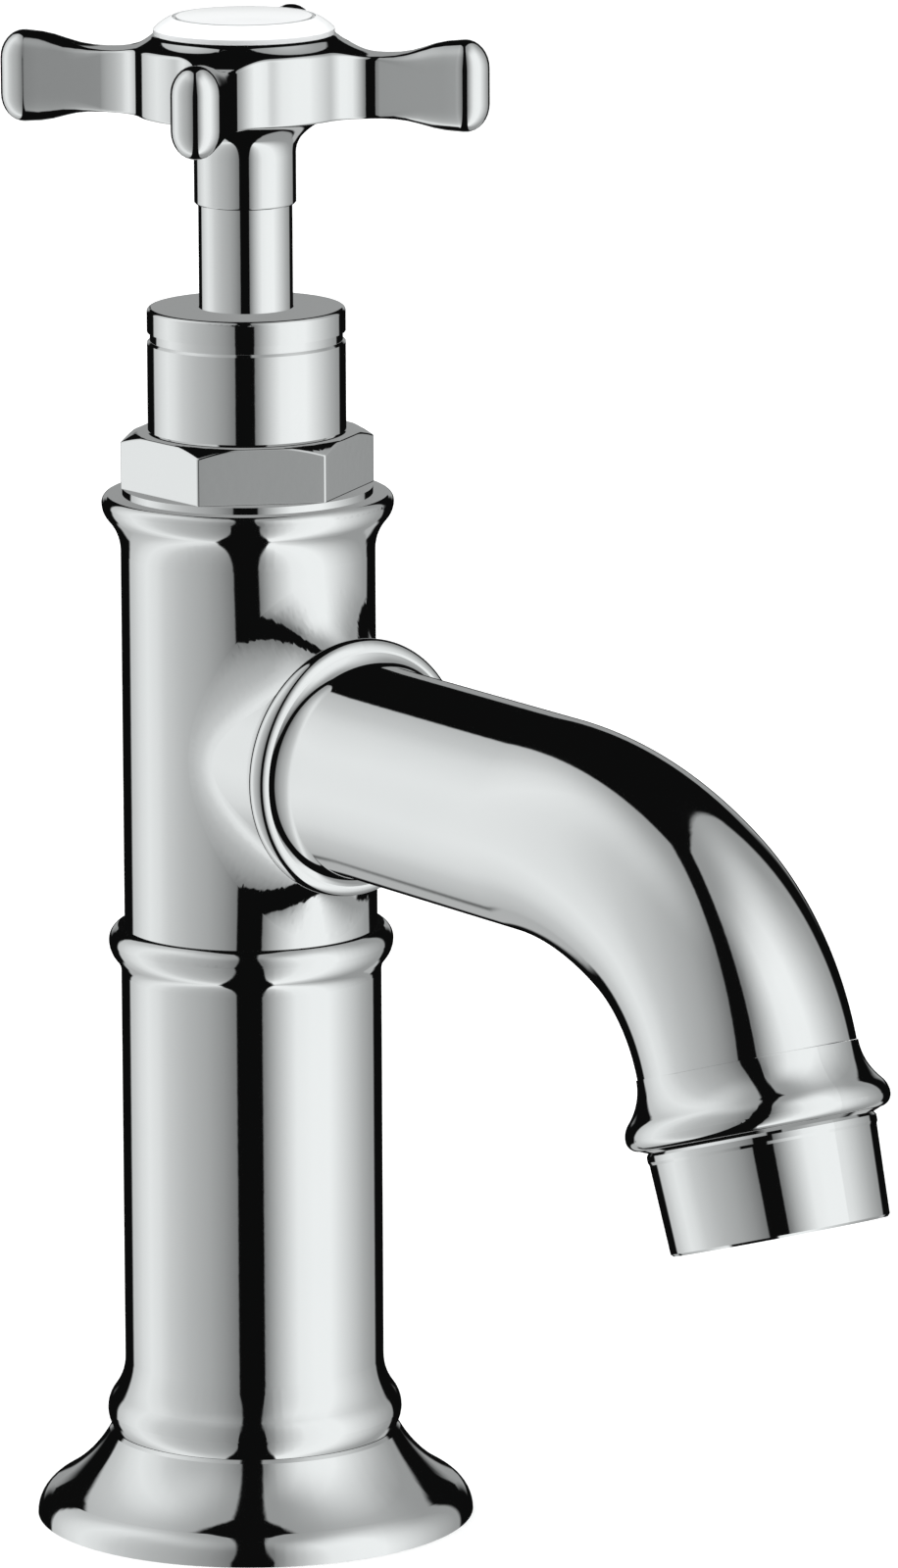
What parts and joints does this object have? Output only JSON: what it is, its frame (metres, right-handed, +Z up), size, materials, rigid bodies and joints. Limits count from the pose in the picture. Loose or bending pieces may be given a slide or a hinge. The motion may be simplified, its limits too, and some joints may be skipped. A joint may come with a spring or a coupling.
{
  "type": "pillar tap",
  "caption": "Chrome pillar tap on a round rose, with a down-curved spout, an aerator and a cross handle with a white porcelain disc, on a threaded tail.",
  "frame": {"origin": "centre of the rose's underside, where the tap stands on the deck", "axes": "+Z up the tap's axis, -Y towards the spout's outlet, +X to the right for someone who looks at the tap from in front of the spout"},
  "size_m": [0.054, 0.1406, 0.2392],
  "materials": {
    "chrome": "polished chrome plate on brass",
    "brass": "bare machined brass",
    "rubber": "black moulded rubber",
    "steel": "plain stainless steel",
    "plastic": "light grey moulded plastic",
    "ceramic": "lapped alumina",
    "porcelain": "white glazed porcelain"
  },
  "bodies": {
    "tap": {"base_flange": "chrome", "base_seal": "rubber", "pillar_post": "chrome", "tail_shank": "brass", "deck_seal_washer": "rubber", "deck_backing_washer": "steel", "back_nut": "brass", "riser_tube": "brass", "riser_seals": "rubber", "body_tee": "chrome", "body_seal": "rubber", "spout_collar": "chrome", "spout_tube": "chrome", "spout_seal": "rubber", "spout_ferrule": "chrome", "aerator_housing": "chrome", "aerator_washer": "rubber", "aerator_insert": "plastic", "aerator_screen": "plastic", "bonnet_washer": "chrome", "bonnet_nut": "chrome", "bonnet_sleeve": "chrome", "bonnet_cap": "chrome", "cartridge_body": "brass", "seat_seal": "rubber", "fixed_disc": "ceramic"},
    "handle": {"rotating_disc": "ceramic", "spindle": "brass", "spindle_seals": "rubber", "spindle_clip": "steel", "stem_sleeve": "chrome", "cross_handle": "chrome", "handle_screw": "steel", "porcelain_button": "porcelain", "button_ring": "rubber"}
  },
  "joints": [
    {"name": "handle_turn", "type": "hinge", "parent": "tap", "child": "handle", "pos_m": [0, 0, 0.179], "axis": [0, 0, 1], "range_deg": [0, 90]}
  ]
}
